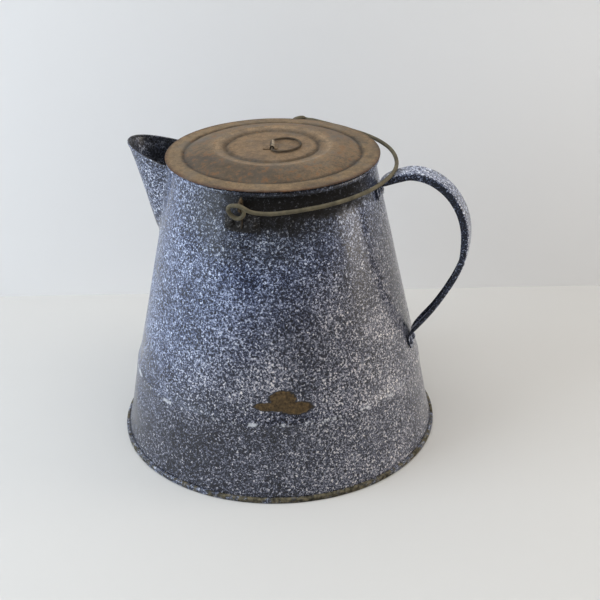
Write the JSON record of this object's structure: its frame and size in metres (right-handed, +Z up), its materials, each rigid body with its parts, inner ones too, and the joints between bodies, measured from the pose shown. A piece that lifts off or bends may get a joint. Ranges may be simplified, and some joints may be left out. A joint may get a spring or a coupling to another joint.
{
  "type": "coffee boiler",
  "caption": "Large tapered enamelled steel coffee boiler with an open lip spout, strap handle, swinging wire bail and a loose tin lid with a wire ring.",
  "frame": {"origin": "middle of the round base, on the plane that the pot stands on", "axes": "+Z up, +X to the strap handle, -X to the spout, the two bail ears on -Y and +Y"},
  "size_m": [0.3046, 0.279, 0.2607],
  "materials": {
    "speckled_enamel": "glossy speckled enamel on steel, worn",
    "worn_steel": "enamelled steel worn bare, rusty and sooty",
    "steel_wire": "dull dark steel wire",
    "aged_tinplate": "dull brown tin plate with rust"
  },
  "bodies": {
    "pot": {"body_shell": "speckled_enamel", "rim_wire": "steel_wire", "bottom_pan": "worn_steel", "spout_shell": "speckled_enamel", "strap_handle": "speckled_enamel", "bail_ear_front": "worn_steel", "bail_ear_back": "worn_steel", "handle_rivet_top_front": "speckled_enamel", "handle_rivet_top_back": "speckled_enamel", "handle_rivet_low_front": "speckled_enamel", "handle_rivet_low_back": "speckled_enamel", "ear_rivet_front_left": "worn_steel", "ear_rivet_front_right": "worn_steel", "ear_rivet_back_left": "worn_steel", "ear_rivet_back_right": "worn_steel"},
    "bail": {"bail_wire": "steel_wire"},
    "lid": {"lid_disc": "aged_tinplate", "lid_collar": "aged_tinplate", "lid_clip": "aged_tinplate"},
    "ring": {"lid_ring": "steel_wire"}
  },
  "joints": [
    {"name": "bail_swing", "type": "hinge", "parent": "pot", "child": "bail", "pos_m": [-0.0026, 0, 0.2405], "axis": [0, -0.9988, -0.0494], "range_deg": [0, 170]},
    {"name": "lid_lift", "type": "slide", "parent": "pot", "child": "lid", "axis": [0, 0, 1], "range_m": [0, 0.13]},
    {"name": "ring_flip", "type": "hinge", "parent": "lid", "child": "ring", "pos_m": [0.0006, -0.0024, 0.25845], "axis": [0.2419, -0.9703, 0], "range_deg": [0, 178]}
  ]
}
